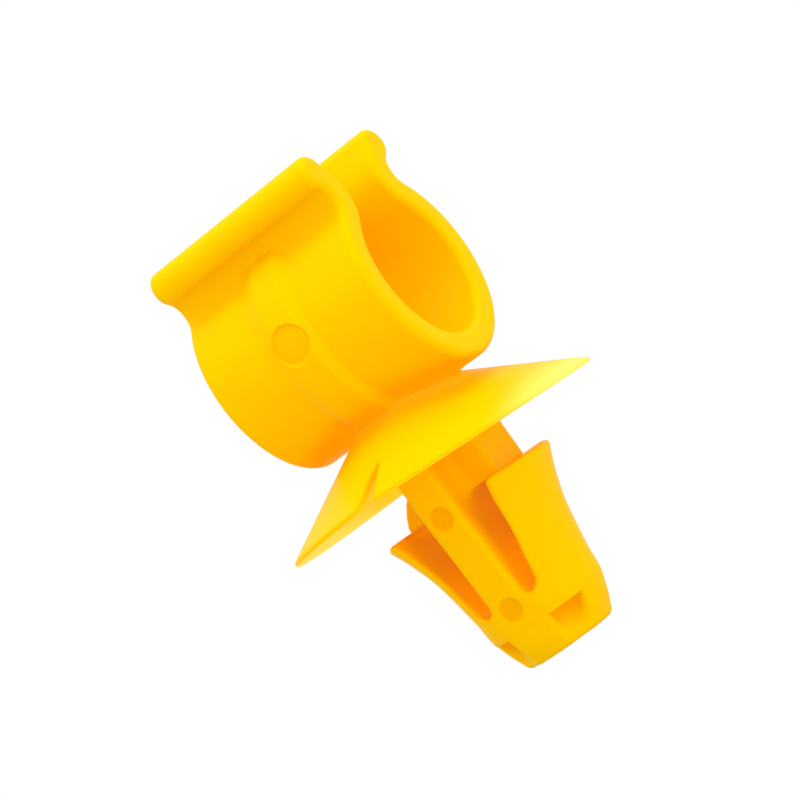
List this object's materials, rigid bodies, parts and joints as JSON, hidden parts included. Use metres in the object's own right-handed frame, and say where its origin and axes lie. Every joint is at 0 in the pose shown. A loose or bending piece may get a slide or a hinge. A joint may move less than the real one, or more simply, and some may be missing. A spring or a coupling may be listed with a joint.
{
  "type": "push-mount pipe clip",
  "caption": "One-piece nylon clip: an open C clamp snaps onto a pipe or cable, a sprung dish seats on a panel, and a barbed arrowhead anchor locks in a round hole.",
  "frame": {"origin": "on the stem's axis, in the plane where the two tips of the dish rest on the panel", "axes": "+Z out of the panel towards the clamp's mouth, X along the clamp's bore, Y across it"},
  "size_m": [0.02, 0.02, 0.0299],
  "materials": {
    "nylon_yellow": "moulded natural satin nylon, saturated yellow"
  },
  "bodies": {
    "core": {"saddle": "nylon_yellow", "near_saddle_rib": "nylon_yellow", "far_saddle_rib": "nylon_yellow", "dish_hub": "nylon_yellow", "stem_web": "nylon_yellow", "left_cross_bar": "nylon_yellow", "right_cross_bar": "nylon_yellow", "centre_web": "nylon_yellow", "nose": "nylon_yellow"},
    "near_arm_body": {"near_arm": "nylon_yellow", "near_lip": "nylon_yellow", "near_rib": "nylon_yellow"},
    "far_arm_body": {"far_arm": "nylon_yellow", "far_lip": "nylon_yellow", "far_rib": "nylon_yellow"},
    "left_wing_body": {"left_wing": "nylon_yellow"},
    "right_wing_body": {"right_wing": "nylon_yellow"},
    "left_barb_body": {"left_barb_leg": "nylon_yellow", "left_barb_head": "nylon_yellow"},
    "right_barb_body": {"right_barb_leg": "nylon_yellow", "right_barb_head": "nylon_yellow"}
  },
  "joints": [
    {"name": "near_arm_flex", "type": "hinge", "parent": "core", "child": "near_arm_body", "pos_m": [0, -0.00411, 0.00483], "axis": [1, 0, 0], "range_deg": [0, 14], "stiffness_Nm_per_rad": 0.9},
    {"name": "far_arm_flex", "type": "hinge", "parent": "core", "child": "far_arm_body", "pos_m": [0, 0.00411, 0.00483], "axis": [-1, 0, 0], "range_deg": [0, 14], "stiffness_Nm_per_rad": 0.9},
    {"name": "left_wing_flex", "type": "hinge", "parent": "core", "child": "left_wing_body", "pos_m": [-0.0038, 0, 0.00375], "axis": [0, 1, 0], "range_deg": [0, 12], "stiffness_Nm_per_rad": 0.15},
    {"name": "right_wing_flex", "type": "hinge", "parent": "core", "child": "right_wing_body", "pos_m": [0.0038, 0, 0.00375], "axis": [0, -1, 0], "range_deg": [0, 12], "stiffness_Nm_per_rad": 0.15},
    {"name": "left_barb_flex", "type": "hinge", "parent": "core", "child": "left_barb_body", "pos_m": [-0.0036, 0, -0.0084], "axis": [0, 1, 0], "range_deg": [0, 15], "stiffness_Nm_per_rad": 0.8},
    {"name": "right_barb_flex", "type": "hinge", "parent": "core", "child": "right_barb_body", "pos_m": [0.0036, 0, -0.0084], "axis": [0, -1, 0], "range_deg": [0, 15], "stiffness_Nm_per_rad": 0.8}
  ]
}
